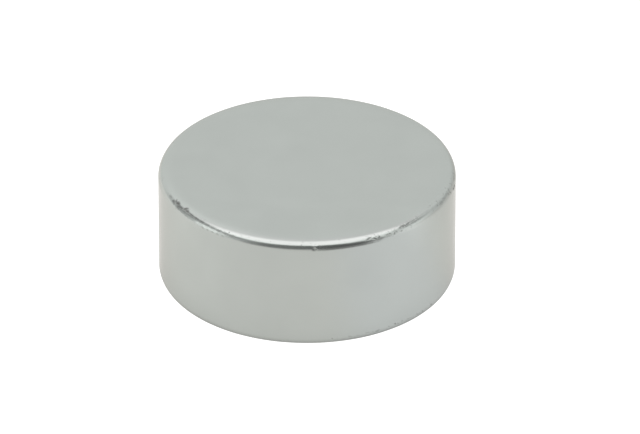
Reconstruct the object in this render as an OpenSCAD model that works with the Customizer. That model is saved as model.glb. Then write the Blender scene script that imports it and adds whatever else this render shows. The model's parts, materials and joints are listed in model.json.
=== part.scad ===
// Disc magnet: a plated disc with rounded edges and a few shallow nicks in its upper edge.
// It stands on one pole face, centred on the Z axis, with the other pole face on top.

/* [Disc] */
// Diameter of the disc
disc_d = 20; // [8:0.5:60]
// Thickness of the disc, from one pole face to the other
disc_h = 8; // [4:0.5:30]
// Radius of the rounded edge between each pole face and the side wall
edge_r = 0.5; // [0.3:0.05:1.5]

/* [Nicks] */
// Length of the largest nick, measured along the edge
nick_w = 0.6; // [0.2:0.05:1]
// Depth of the largest nick
nick_depth = 0.06; // [0.02:0.01:0.15]

/* [Hidden] */
$fn = 128;

// Radius of the side wall, and of the flat part of a pole face
side_r = disc_d / 2;
face_r = side_r - edge_r;

// Radius of a ball that leaves the largest nick when it bites nick_depth into the edge
nick_ball_r = (nick_w * nick_w / 4 + nick_depth * nick_depth) / (2 * nick_depth);

// Nicked stretches of the upper edge: first and last bearing in degrees round from +X, number of
// nicks, and their mean tilt in degrees from the upper pole face (0) to the side wall (90)
nicked = [
    [-155, -143, 4, 40],
    [-87, -87, 1, 70],
    [-66, -46, 5, 55],
    [-25, -10, 4, 60],
];

// Nicks lie this many degrees of tilt to either side of their stretch's mean, by turns
tilt_sway = 5;
// The nicks at the ends of a stretch are this share of the largest nick, which is at its middle
end_share = 0.5;

// Half of the disc's section: two rectangles, with a round in each of its outer corners
module half_section() {
    square([face_r, disc_h]);
    translate([0, edge_r])
        square([side_r, disc_h - 2 * edge_r]);
    for (z = [edge_r, disc_h - edge_r])
        translate([face_r, z])
            circle(r = edge_r);
}

// The ball that leaves one nick, square to the rounded upper edge
module nick_ball(bearing, tilt, share) {
    rotate([0, 0, bearing])
        translate([face_r, 0, disc_h - edge_r])
            rotate([0, tilt, 0])
                translate([0, 0, edge_r + share * (nick_ball_r - nick_depth)])
                    sphere(r = share * nick_ball_r, $fn = 64);
}

// The balls that leave one stretch of nicks, evenly spaced and largest in its middle
module nick_row(first, last, count, tilt) {
    for (k = [0 : count - 1]) {
        along = count > 1 ? k / (count - 1) : 0.5;
        nick_ball(
            first + along * (last - first),
            tilt + (k % 2 == 0 ? tilt_sway : -tilt_sway),
            end_share + (1 - end_share) * sin(180 * along));
    }
}

// The magnet: one solid turned about Z, less its nicks
module magnet() {
    color([0.72, 0.73, 0.72])
        difference() {
            rotate_extrude()
                half_section();
            for (stretch = nicked)
                nick_row(stretch[0], stretch[1], stretch[2], stretch[3]);
        }
}

magnet();
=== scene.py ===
"""A nickel-plated disc magnet on a pale table, in a white studio.

The CAD node is replaced by one finer mesh of the same form, whose two tumbled edges carry the
nicks, scratches and pits of handling. Lengths are in metres unless a name ends in MM or a comment
says so. Bearings are in degrees round Z from +X, so the side that faces the camera is at -90.
"""
import json
import math

import bpy
import numpy as np
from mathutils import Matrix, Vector

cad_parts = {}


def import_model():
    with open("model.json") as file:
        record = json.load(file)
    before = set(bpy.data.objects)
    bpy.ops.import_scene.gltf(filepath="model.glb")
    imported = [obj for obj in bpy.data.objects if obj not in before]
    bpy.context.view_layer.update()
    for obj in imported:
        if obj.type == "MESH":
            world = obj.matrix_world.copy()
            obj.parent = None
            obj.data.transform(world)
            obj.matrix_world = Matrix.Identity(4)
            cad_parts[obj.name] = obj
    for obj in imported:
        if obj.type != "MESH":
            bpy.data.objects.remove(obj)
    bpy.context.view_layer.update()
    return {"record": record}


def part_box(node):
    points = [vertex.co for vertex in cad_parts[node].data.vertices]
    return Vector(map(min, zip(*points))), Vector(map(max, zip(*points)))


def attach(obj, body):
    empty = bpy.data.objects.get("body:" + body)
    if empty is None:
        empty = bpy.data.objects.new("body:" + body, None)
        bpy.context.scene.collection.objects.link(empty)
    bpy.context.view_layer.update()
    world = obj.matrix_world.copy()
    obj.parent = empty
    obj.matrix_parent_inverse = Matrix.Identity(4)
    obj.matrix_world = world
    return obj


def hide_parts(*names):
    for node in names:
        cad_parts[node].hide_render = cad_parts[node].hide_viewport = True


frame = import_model()

MM = 0.001
NODE = "magnet"
BODY = "root"
SEED = 11

# ---- the magnet's form -------------------------------------------------------------------------
# The rim mount is the straight part of the side wall, so half of what is left of the height is the
# edge radius.
box_lo, box_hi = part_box(NODE)
SIDE_R = (box_hi.x - box_lo.x) / 2
DISC_H = box_hi.z - box_lo.z
RIM = next(mount for mount in frame["record"]["mounts"] if mount["name"] == "rim")
EDGE_R = (DISC_H - RIM["dims"]["length_mm"] * MM) / 2

# The tumbled edge, from the pole face down to the side wall: the tilt in degrees at which each arc
# ends, and the arc's radius as a share of the edge radius.
EDGE_ARCS = ((4, 10.0), (12, 5.0), (55, 0.9), (75, 1.4), (90, 1.3))

# Mesh density: points round the disc, the spacing of the rows across the two edges, and how many
# rows follow on the side wall. Below FINE_FROM degrees of tilt the rows are twice as far apart.
SEGMENTS = 1320
TOP_ROW_STEP = 0.038 * MM
FOOT_ROW_STEP = 0.055 * MM
WALL_ROWS = 7
FINE_FROM = 12

# How a nick is given: bearing, tilt on the edge (0 at the pole face, 90 at the wall), length and
# width in mm, depth in mm (below 0 for a raised burr), slant of the length from the edge's run in
# degrees, and how much shade is painted into it. The front has a dent, the metal it pushed up above
# it, and a spot of painted shade.
FRONT_NICKS = (
    (-87, 75, 0.4, 0.35, 0.014, 0, 0),
    (-87, 60, 0.4, 0.30, -0.016, 0, 0),
    (-85, 65, 0.2, 0.20, 0.004, 0, 0.3),
)

# Scratches that run along the upper edge: bearing and tilt at the start and at the end, then width
# and depth in mm and how much shade is painted into it at the start. Depth and painted shade fade
# to FADED of that at the end.
SCRATCHES = (
    # left: the scratch itself, what leads up to it, and a shallow mark below with painted shade
    ((-158, 40), (-154, 40), 0.20, 0.010, 0.4),
    ((-149, 40), (-144, 35), 0.20, 0.015, 0.8),
    ((-145, 35), (-120, 60), 0.15, 0.015, 0.8),
    ((-150, 60), (-141, 65), 0.15, 0.005, 0.3),
    # right of the front
    ((-61, 70), (-57, 70), 0.25, 0.004, 0.2),
    ((-57, 60), (-50, 50), 0.10, 0.008, 0.4),
    ((-46, 40), (-38, 30), 0.15, 0.012, 0.4),
    # right, where the edge is rubbed
    ((-35, 35), (-28, 45), 0.20, 0.006, 0.15),
    ((-25, 60), (-16, 50), 0.25, 0.010, 0.3),
    ((-6, 60), (2, 55), 0.20, 0.010, 0.3),
)
FADED = 0.4
# Degrees between the nicks that make up a scratch, their length as a share of that spacing, and
# how uneven they are.
SCRATCH_STEP = 3
SCRATCH_OVERLAP = 1.3
SCRATCH_UNEVEN = (0.7, 1.1)

# Knocked stretches of each edge: first and last bearing, lowest and highest tilt, number of chips,
# then length, width and depth in mm and painted shade of the largest chip, and how far the chips
# slant.
KNOCKED = (
    (-155, -149, 25, 50, 7, 0.6, 0.28, 0.032, 0.9, 45),
    (-147, -144, 20, 40, 3, 0.6, 0.28, 0.032, 0.9, 45),
    (-66, -61, 50, 65, 6, 0.4, 0.16, 0.016, 0.7, 40),
    (-68, -62, 35, 50, 5, 0.3, 0.12, 0.012, 0.2, 90),
    (-58, -50, 60, 70, 6, 0.25, 0.14, 0.014, 0.5, 45),
    (-51, -46, 40, 50, 5, 0.5, 0.22, 0.018, 0.8, 45),
    (-18, -15, 60, 70, 2, 0.5, 0.20, 0.015, 0.4, 70),
    (-12, -8, 75, 90, 4, 0.5, 0.30, 0.020, 1.0, 30),
)
FOOT_KNOCKED = (
    (-58, -33, 85, 90, 9, 0.25, 0.12, 0.010, 0.7, 45),
    (-76, -60, 75, 85, 4, 0.5, 0.12, 0.008, 0.4, 20),
)
# A chip's size as a share of the largest, and where it lies in its part of the stretch.
CHIP_SHARE = (0.5, 1.0)
CHIP_PLACE = (0.2, 0.8)

# Below the left scratch lie a row of scallops with no painted shade and a row of notches with
# painted shade: the first and last bearing of each row, how many, then one of its nicks as above
# without its bearing.
NICK_ROWS = (
    (-136, -125, 4, (65, 0.8, 0.15, 0.010, 0, 0)),
    (-134, -124, 5, (75, 0.25, 0.15, 0.006, 0, 0.2)),
)

# Stretches of each edge that tumbling has pitted: first and last bearing, and the number of pits.
# The last one of each goes all the way round.
PITTED = (
    (-156, -141, 60),
    (-69, -61, 16),
    (-58, -38, 50),
    (-27, -3, 50),
    (45, 75, 24),
    (140, 160, 20),
    (-180, 180, 220),
)
FOOT_PITTED = (
    (-58, -33, 40),
    (-76, -60, 10),
    (-145, -124, 12),
    (80, 120, 20),
    (-180, 180, 90),
)
# Pits: lowest, likeliest and highest tilt on each edge, then their length, how narrow, how deep, and
# how much shade is painted into them.
PIT_TILT = (8, 42, 80)
FOOT_PIT_TILT = (30, 75, 90)
PIT_MM = (0.05, 0.14)
PIT_NARROW = (0.6, 1.0)
PIT_DEPTH_MM = (0.002, 0.009)
PIT_PAINTED_SHADE = (0, 0.5)

# Slow waves in the edge's height, as (waves round the disc, height in mm).
WAVES = ((7, 0.0030), (19, 0.0022), (43, 0.0012), (97, 0.0006))


def edge_profile(row_step):
    """Rows across an edge: distance out from the face's flat part, drop from the face, and tilt."""
    out, drop, tilt = [0.0], [0.0], [0.0]
    start = 0.0
    for end_deg, share in EDGE_ARCS:
        end, radius = math.radians(end_deg), share * EDGE_R
        step = row_step if end_deg > FINE_FROM else 2 * row_step
        steps = max(2, round(radius * (end - start) / step))
        for angle in np.linspace(start, end, steps + 1)[1:]:
            out.append(out[-1] + radius * (math.sin(angle) - math.sin(tilt[-1])))
            drop.append(drop[-1] + radius * (math.cos(tilt[-1]) - math.cos(angle)))
            tilt.append(angle)
        start = end
    return np.array(out), np.array(drop), np.array(tilt)


def along_profile(out, drop):
    """Distance along the edge's curve from the face, for each of its rows."""
    return np.concatenate([[0.0], np.cumsum(np.hypot(np.diff(out), np.diff(drop)))])


def rows_of_nicks():
    """The evenly spaced nicks of NICK_ROWS."""
    return [
        (bearing, *nick)
        for first, last, count, nick in NICK_ROWS
        for bearing in np.linspace(first, last, count)
    ]


def scratches(rng):
    """Each scratch as overlapping nicks that fade towards its end, a little uneven in depth."""
    nicks = []
    for start, end, width, depth, painted_shade in SCRATCHES:
        count = round((end[0] - start[0]) / SCRATCH_STEP) + 1
        length = SCRATCH_OVERLAP * math.radians(SCRATCH_STEP) * SIDE_R / MM
        for along in np.linspace(0, 1, count):
            share = (1 - (1 - FADED) * along) * rng.uniform(*SCRATCH_UNEVEN)
            bearing, tilt = (low + along * (high - low) for low, high in zip(start, end))
            nicks.append((bearing, tilt, length, width, depth * share, 0, painted_shade * share))
    return nicks


def chips(rng, stretches):
    """The chips of each knocked stretch, uneven in place, size and slant."""
    nicks = []
    for first, last, low, high, count, length, width, depth, painted_shade, slant in stretches:
        for k in range(count):
            share = rng.uniform(*CHIP_SHARE)
            nicks.append((
                first + (last - first) * (k + rng.uniform(*CHIP_PLACE)) / count,
                rng.uniform(low, high),
                length * share,
                width * share,
                depth * share,
                rng.uniform(-slant, slant),
                painted_shade * share,
            ))
    return nicks


def pits(rng, stretches, tilts):
    """Seeded small round pits over each stretch."""
    rows = []
    for first, last, count in stretches:
        for _ in range(count):
            size = rng.uniform(*PIT_MM)
            rows.append((
                rng.uniform(first, last),
                rng.triangular(*tilts),
                size,
                size * rng.uniform(*PIT_NARROW),
                rng.uniform(*PIT_DEPTH_MM),
                rng.uniform(-90, 90),
                rng.uniform(*PIT_PAINTED_SHADE),
            ))
    return rows


def press(relief, wear_and_shade, bearings, across, nick, profile):
    """Press one nick into the relief, and mark how much shade is painted into it."""
    bearing, tilt_deg, length, width, depth, slant, painted_shade = nick
    turn = (bearings - math.radians(bearing) + math.pi) % (2 * math.pi) - math.pi
    reach = max(length, width) * MM / SIDE_R
    near = np.abs(turn) < reach
    da = turn[near][None, :] * SIDE_R
    db = across - np.interp(math.radians(tilt_deg), profile[0], profile[1])
    s, c = math.sin(math.radians(slant)), math.cos(math.radians(slant))
    u = (da * c + db * s) / (length * MM / 2)
    v = (db * c - da * s) / (width * MM / 2)
    q = u * u + v * v
    bowl = np.clip(1 - q, 0, 1) ** 1.5
    relief[:, near] -= depth * MM * bowl
    # the shade painted into the nick, fading out just past its edge
    wear_and_shade[:, near] = np.maximum(wear_and_shade[:, near], painted_shade * np.clip(1.15 - q, 0, 1))


def worn_edge(bearings, row_step, rng, nicks):
    """One edge and the start of the side wall, with its slow waves and its nicks.

    Gives a row of points for each ring, from the face to the wall: their distance from the axis,
    their depth below the face, and a 0 to 1 mask of the shade painted into their nicks.
    """
    out, drop, tilt = edge_profile(row_step)
    path = along_profile(out, drop)
    flat_r = SIDE_R - out[-1]
    down = row_step * np.arange(1, WALL_ROWS + 1)
    radius = np.append(flat_r + out, SIDE_R + 0 * down)[:, None]
    depth = np.append(drop, drop[-1] + down)[:, None]
    lean = np.append(tilt, math.pi / 2 + 0 * down)[:, None]
    across = np.append(path, path[-1] + down)[:, None]
    relief = np.zeros((len(across), len(bearings)))
    wear_and_shade = np.zeros_like(relief)
    fade = np.sin(math.pi * np.clip(across / path[-1], 0, 1))
    for count, height in WAVES:
        phase = rng.uniform(0, 2 * math.pi)
        relief -= height * MM * fade * (1 + np.sin(count * bearings + phase)[None, :]) / 2
    for nick in nicks(rng):
        press(relief, wear_and_shade, bearings, across, nick, (tilt, path))
    relief[[0, -1]] = 0
    wear_and_shade[[0, -1]] = 0
    return radius + relief * np.sin(lean), depth - relief * np.cos(lean), wear_and_shade


def top_nicks(rng):
    """All the nicks of the upper edge."""
    wear_and_shade = scratches(rng) + chips(rng, KNOCKED) + pits(rng, PITTED, PIT_TILT)
    return list(FRONT_NICKS) + rows_of_nicks() + wear_and_shade


def foot_nicks(rng):
    """All the nicks of the lower edge."""
    return chips(rng, FOOT_KNOCKED) + pits(rng, FOOT_PITTED, FOOT_PIT_TILT)


def face_rings(shares, flat_r, height):
    """Plain rings across a pole face, at shares of its flat part's radius."""
    radius = flat_r * np.array(shares)[:, None] * np.ones(SEGMENTS)
    return radius, np.full_like(radius, height), np.zeros_like(radius)


def disc_mesh():
    """The magnet's mesh, lathed ring by ring, with the nicks pressed into its two edges."""
    bearing = np.linspace(-math.pi, math.pi, SEGMENTS, endpoint=False)
    rng = np.random.default_rng(SEED)
    top_r, top_depth, top_shade = worn_edge(bearing, TOP_ROW_STEP, rng, top_nicks)
    foot_r, foot_depth, foot_shade = worn_edge(bearing, FOOT_ROW_STEP, rng, foot_nicks)
    bands = (
        face_rings((0.3, 0.7, 0.92), top_r[0, 0], DISC_H),
        (top_r, DISC_H - top_depth, top_shade),
        (foot_r[::-1], foot_depth[::-1], foot_shade[::-1]),
        face_rings((0.7, 0.3), foot_r[0, 0], 0.0),
    )
    r, z, wear_and_shade = (np.vstack(parts) for parts in zip(*bands))
    points = np.stack([r * np.cos(bearing), r * np.sin(bearing), z], -1).reshape(-1, 3)
    top_centre, foot_centre = len(points), len(points) + 1
    points = np.vstack([points, [[0, 0, DISC_H], [0, 0, 0]]])
    faces = []
    last = (len(r) - 1) * SEGMENTS
    for ring in range(0, last, SEGMENTS):
        below = ring + SEGMENTS
        for j in range(SEGMENTS):
            k = (j + 1) % SEGMENTS
            faces.append((ring + j, below + j, below + k, ring + k))
    for j in range(SEGMENTS):
        k = (j + 1) % SEGMENTS
        faces.append((top_centre, j, k))
        faces.append((foot_centre, last + k, last + j))
    mesh = bpy.data.meshes.new("magnet_disc")
    mesh.from_pydata(points.tolist(), [], faces)
    mesh.validate()
    mesh.shade_smooth()
    mask = mesh.attributes.new("wear_and_shade", "FLOAT", "POINT")
    mask.data.foreach_set("value", np.append(wear_and_shade.ravel(), [0, 0]).astype(np.float32))
    return mesh


# ---- the plating -------------------------------------------------------------------------------
# The metal's colour face-on and edge-on, the painted shade laid into its nicks, and how much
# rougher the nicks are.
BASE = (0.467, 0.499, 0.476, 1)
PAINTED_SHADE_COLOUR = (0.085, 0.085, 0.080, 1)
EDGE_TINT = (0.78, 0.77, 0.755, 1)
NICK_ROUGHNESS = 0.3
PEEL_HEIGHT = 0.01 * MM


def nickel():
    """Bright nickel plating: faint clouds, fine orange peel, and painted shade in the nicks."""
    mat = bpy.data.materials.new("nickel_plating")
    mat.use_nodes = True
    nodes, links = mat.node_tree.nodes, mat.node_tree.links
    shader = nodes["Principled BSDF"]
    shader.inputs["Metallic"].default_value = 1.0
    shader.inputs["Specular Tint"].default_value = EDGE_TINT
    place = nodes.new("ShaderNodeTexCoord").outputs["Object"]

    def noise(scale, detail=2.0, distortion=0.0):
        """Noise over the metal, with this many cells to the metre."""
        node = nodes.new("ShaderNodeTexNoise")
        node.inputs["Scale"].default_value = scale
        node.inputs["Detail"].default_value = detail
        node.inputs["Distortion"].default_value = distortion
        links.new(place, node.inputs["Vector"])
        return node.outputs["Fac"]

    def spread(value, low, high, source=(0.3, 0.7)):
        """A noise value stretched to run from low to high."""
        node = nodes.new("ShaderNodeMapRange")
        node.inputs["From Min"].default_value, node.inputs["From Max"].default_value = source
        node.inputs["To Min"].default_value, node.inputs["To Max"].default_value = low, high
        links.new(value, node.inputs["Value"])
        return node.outputs["Result"]

    def mix(kind, share, a, b):
        """Colour b laid over colour a."""
        node = nodes.new("ShaderNodeMix")
        node.data_type = "RGBA"
        node.blend_type = kind
        for socket, value in ((0, share), (6, a), (7, b)):
            if isinstance(value, bpy.types.NodeSocket):
                links.new(value, node.inputs[socket])
            else:
                node.inputs[socket].default_value = value
        return node.outputs[2]

    # Painted shade: the nicks' mask darkens the colour, and it also makes them rougher.
    wear_and_shade = nodes.new("ShaderNodeAttribute")
    wear_and_shade.attribute_name = "wear_and_shade"
    wear_and_shade = wear_and_shade.outputs["Fac"]
    clouds = spread(noise(260, 3, 0.4), 0.982, 1.016)
    tone = nodes.new("ShaderNodeVectorMath")
    tone.operation = "SCALE"
    tone.inputs[0].default_value = BASE[:3]
    links.new(clouds, tone.inputs["Scale"])
    links.new(mix("MIX", wear_and_shade, tone.outputs[0], PAINTED_SHADE_COLOUR), shader.inputs["Base Color"])

    smudges = spread(noise(420, 3, 0.6), 0.185, 0.225)
    rough = nodes.new("ShaderNodeMath")
    rough.operation = "MULTIPLY_ADD"
    links.new(wear_and_shade, rough.inputs[0])
    rough.inputs[1].default_value = NICK_ROUGHNESS
    links.new(smudges, rough.inputs[2])
    links.new(rough.outputs[0], shader.inputs["Roughness"])

    bump = nodes.new("ShaderNodeBump")
    bump.inputs["Strength"].default_value = 0.25
    bump.inputs["Distance"].default_value = PEEL_HEIGHT
    links.new(noise(3500, 2), bump.inputs["Height"])
    links.new(bump.outputs["Normal"], shader.inputs["Normal"])
    return mat


def magnet():
    """The one piece: the plated disc, in place of its CAD node."""
    obj = bpy.data.objects.new("magnet_disc", disc_mesh())
    bpy.context.scene.collection.objects.link(obj)
    obj.data.materials.append(nickel())
    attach(obj, BODY)
    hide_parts(NODE)


# ---- stage -------------------------------------------------------------------------------------
# Steps are in degrees. The shares say how far the floor's plain white takes over from its matte
# surface for the camera, and the reflected table colour for the metal.
DOME_R = 1.2
DOME_STEP = 2
SOFTBOX_TINT = (0.02, -0.02, 0.0)
FLOOR_R = 1.6
FLOOR_STEP = 4
FLOOR_DROP = 0.01 * MM
CAMERA_SHARE = 0.85
GLOSSY_SHARE = 0.85
WHITE_GLOW = 1.4


def smooth(low, high, x):
    """0 below low, 1 above high, and an even S between them."""
    t = np.clip((x - low) / (high - low), 0, 1)
    return t * t * (3 - 2 * t)


def window(x, low, high, soft):
    """1 between low and high and 0 outside, over edges 2 * soft wide."""
    return smooth(low - soft, low + soft, x) * (1 - smooth(high - soft, high + soft, x))


def studio_glow(az, el):
    """Brightness of the studio by direction from the magnet.

    az is in degrees from the camera's side, + to its right, and el is the height in degrees.
    """
    a, e = np.radians(az), np.radians(el)
    forward = np.degrees(np.arctan2(np.cos(e) * np.cos(a), np.sin(e)))
    aside = np.cos(e) * np.sin(a)
    side = np.abs(az)
    glow = np.ones_like(a)

    def blend(share, value):
        """Bring the glow to this value, where the share is 1."""
        nonlocal glow
        glow = glow + share * (value - glow)

    # white cards low at the two sides, and the dark openings above and behind them
    blend(window(az, -121, -90, 6) * window(el, 6, 45, 6), 0.64 - 0.19 * smooth(10, 34, el))
    blend(window(az, -92, -70, 5) * window(el, 24, 40, 3), 0.78)
    blend(window(az, -87, -66, 4) * window(el, 6, 20, 3), 1.65)
    blend(window(az, 81, 106, 6) * window(el, 20, 50, 5), 0.60)
    blend(window(az, 106, 130, 8) * window(el, -12, 30, 8), 0.76 + 0.08 * smooth(8, 24, el))
    blend(window(az, 132, 165, 6) * window(el, -12, 18, 8), 0.90)
    blend(window(az, 70, 94, 4) * window(el, -9, 14, 3), 1.25)
    blend(window(az, -174, -145, 8) * window(el, 37, 48, 4), 1.20)
    blend(window(az, -172, -132, 6) * window(el, -5, 34, 5), 1.06)
    # softbox overhead: its front edge is the sharp one, and it fades towards the back
    middle = 3 * (1 - smooth(20, 36, side))
    front = 38 + middle + 0.45 * np.clip(side - 72, 0, np.where(az < 0, 29, 44))
    level = 1.71 - 0.06 * aside + 0.11 * window(side, 72, 122, 12)
    blend(smooth(front - 3, front + 3, el) * smooth(-56, 0, forward), level)
    blend(window(az, 50, 74, 4) * window(el, 26, 42, 4), 1.35)
    # the dark side of the room, behind the camera
    top = 36.5 + middle - np.where(az < 0, 0.0036, 0.0064) * az ** 2
    ends = np.where(az < 0, smooth(26, 72, side), smooth(40, 70, side))
    blend((1 - ends) * (1 - smooth(top - 3, top + 3, el)), 0.26 - 0.10 * smooth(-5, 20, az))
    blend(window(az, -64, -46, 4) * window(el, 20, 33, 4), 0.42)
    return glow


def grid_object(name, points, glow):
    """A stage piece from a grid of points, with the colour that it glows in stored at each."""
    rows, cols = glow.shape[:2]
    corner = np.arange((rows - 1) * cols).reshape(rows - 1, cols)[:, :-1].ravel()
    faces = np.stack([corner, corner + 1, corner + cols + 1, corner + cols], -1)
    mesh = bpy.data.meshes.new(name)
    mesh.from_pydata(points.reshape(-1, 3).tolist(), [], faces.tolist())
    colour = np.concatenate([glow, np.ones((rows, cols, 1))], -1).astype(np.float32)
    mesh.attributes.new("glow", "FLOAT_COLOR", "POINT").data.foreach_set("color", colour.ravel())
    obj = bpy.data.objects.new(name, mesh)
    bpy.context.scene.collection.objects.link(obj)
    return obj


def dome():
    """The walls and ceiling round the table, unseen by the camera."""
    az = np.arange(-180, 180 + DOME_STEP, DOME_STEP)
    el = np.arange(0, 90 + DOME_STEP, DOME_STEP)
    az, el = np.meshgrid(az, el, indexing="ij")
    a, e = np.radians(az), np.radians(el)
    points = DOME_R * np.stack([np.sin(a) * np.cos(e), -np.cos(a) * np.cos(e), np.sin(e)], -1)
    tint = 1 + smooth(42, 56, el)[..., None] * np.array(SOFTBOX_TINT)
    obj = grid_object("studio_dome", points, studio_glow(az, el)[..., None] * tint)
    mat = bpy.data.materials.new("studio_dome")
    mat.use_nodes = True
    nodes, links = mat.node_tree.nodes, mat.node_tree.links
    nodes.clear()
    read = nodes.new("ShaderNodeAttribute")
    read.attribute_name = "glow"
    glow = nodes.new("ShaderNodeEmission")
    links.new(read.outputs["Color"], glow.inputs["Color"])
    out = nodes.new("ShaderNodeOutputMaterial")
    links.new(glow.outputs[0], out.inputs["Surface"])
    obj.data.materials.append(mat)
    obj.visible_camera = False
    obj.visible_shadow = False


def table_glow(x, y):
    """Colour of the table as the magnet reflects it, by place in mm from the magnet's axis."""
    reach = np.hypot(x, y)
    az = np.degrees(np.arctan2(x, -y))
    glow = 0.980 + 0.125 * (1 + y / np.maximum(reach, 1)) + 0.04 * window(az, 20, 65, 15)
    # the left wall lights the table on that side
    glow = glow + 0.05 * window(az, -150, -62, 15)
    glow = glow - 0.04 * window(az, -84, -62, 4) * window(reach, 14, 21, 2)
    # the ceiling light falls off on the right, and the side window brightens a strip there
    far = 0.16 * smooth(16, 24, reach) + 0.18 * smooth(24, 46, reach)
    glow = glow - window(az, 92, 160, 8) * far
    glow = glow + 0.22 * window(az, 67, 80, 5) * smooth(17, 26, reach)
    # a faint cool patch in front
    glow = glow + 0.03 * window(az, -16, 24, 3) * window(reach, 17, 24, 2)
    # the magnet's own shade, close to its foot
    close = 0.40 + 0.12 * window(az, 14, 75, 8)
    glow = glow * (1 - close * (1 - smooth(9.4, 10.4, reach)) - 0.05 * (1 - smooth(10.2, 12.6, reach)))
    # the near side of the table lies in the dark, most of all on the right
    glow = glow + window(az, 6, 46, 5) * smooth(26, 32, reach) * (0.16 - glow)
    glow = glow + window(az, -44, 2, 6) * smooth(40, 90, reach) * (0.45 - glow)
    cool = window(az, 20, 80, 15)
    tint = np.stack([1 - 0.015 * cool, 0.976 + 0 * cool, 0.96 + 0.035 * cool], -1)
    return glow[..., None] * tint


def floor():
    """A pale table top, white to the camera but for the magnet's soft shadow."""
    reach = np.concatenate([np.arange(0, 60, 0.5), np.geomspace(60, FLOOR_R / MM, 30)])
    az = np.radians(np.arange(-180, 180 + FLOOR_STEP, FLOOR_STEP))
    reach, az = np.meshgrid(reach, az, indexing="ij")
    x, y = reach * np.sin(az), -reach * np.cos(az)
    points = np.stack([x * MM, y * MM, np.full_like(x, -FLOOR_DROP)], -1)
    obj = grid_object("floor", points, table_glow(x, y))
    mat = bpy.data.materials.new("floor")
    mat.use_nodes = True
    nodes, links = mat.node_tree.nodes, mat.node_tree.links
    nodes.clear()
    path = nodes.new("ShaderNodeLightPath")

    def blend(ray, share, below, above):
        """The shader above laid over the one below for one kind of ray."""
        scaled = nodes.new("ShaderNodeMath")
        scaled.operation = "MULTIPLY"
        scaled.inputs[1].default_value = share
        links.new(path.outputs[ray], scaled.inputs[0])
        mixed = nodes.new("ShaderNodeMixShader")
        links.new(scaled.outputs[0], mixed.inputs[0])
        links.new(below.outputs[0], mixed.inputs[1])
        links.new(above.outputs[0], mixed.inputs[2])
        return mixed

    matte = nodes.new("ShaderNodeBsdfDiffuse")
    matte.inputs["Color"].default_value = (0.95, 0.94, 0.92, 1)
    read = nodes.new("ShaderNodeAttribute")
    read.attribute_name = "glow"
    reflected = nodes.new("ShaderNodeEmission")
    links.new(read.outputs["Color"], reflected.inputs["Color"])
    white = nodes.new("ShaderNodeEmission")
    white.inputs["Strength"].default_value = WHITE_GLOW
    out = nodes.new("ShaderNodeOutputMaterial")
    top = blend("Is Glossy Ray", GLOSSY_SHARE, matte, reflected)
    top = blend("Is Camera Ray", CAMERA_SHARE, top, white)
    links.new(top.outputs[0], out.inputs["Surface"])
    obj.data.materials.append(mat)


def world():
    """Plain white all round, for what looks past the floor."""
    studio = bpy.data.worlds.new("studio")
    bpy.context.scene.world = studio
    studio.use_nodes = True
    back = studio.node_tree.nodes["Background"]
    back.inputs["Color"].default_value = (1, 1, 1, 1)
    back.inputs["Strength"].default_value = 1.0


# ---- camera ------------------------------------------------------------------------------------
VIEW_ELEVATION = math.radians(30.69)
VIEW_DISTANCE = 0.6
# The aim is moved this far aside and up the picture from the disc's centre.
AIM_ASIDE = 0.87 * MM
AIM_UP = 0.09 * MM
LENS_MM = 501.3
SENSOR_MM = 36
CLIP = (0.05, 10)


def camera():
    """A long lens, looking down on the front of the magnet."""
    back = Vector((0, -math.cos(VIEW_ELEVATION), math.sin(VIEW_ELEVATION)))
    up = Vector((0, math.sin(VIEW_ELEVATION), math.cos(VIEW_ELEVATION)))
    aim = Vector((AIM_ASIDE, 0, DISC_H / 2)) + up * AIM_UP
    lens = bpy.data.cameras.new("camera")
    lens.sensor_width = SENSOR_MM
    lens.lens = LENS_MM
    lens.clip_start, lens.clip_end = CLIP
    obj = bpy.data.objects.new("camera", lens)
    bpy.context.scene.collection.objects.link(obj)
    obj.location = aim + back * VIEW_DISTANCE
    obj.rotation_mode = "QUATERNION"
    obj.rotation_quaternion = back.to_track_quat("Z", "Y")
    bpy.context.scene.camera = obj


def main():
    """The magnet and its studio."""
    magnet()
    floor()
    dome()
    world()
    camera()
    bpy.context.scene.view_settings.view_transform = "Standard"


main()
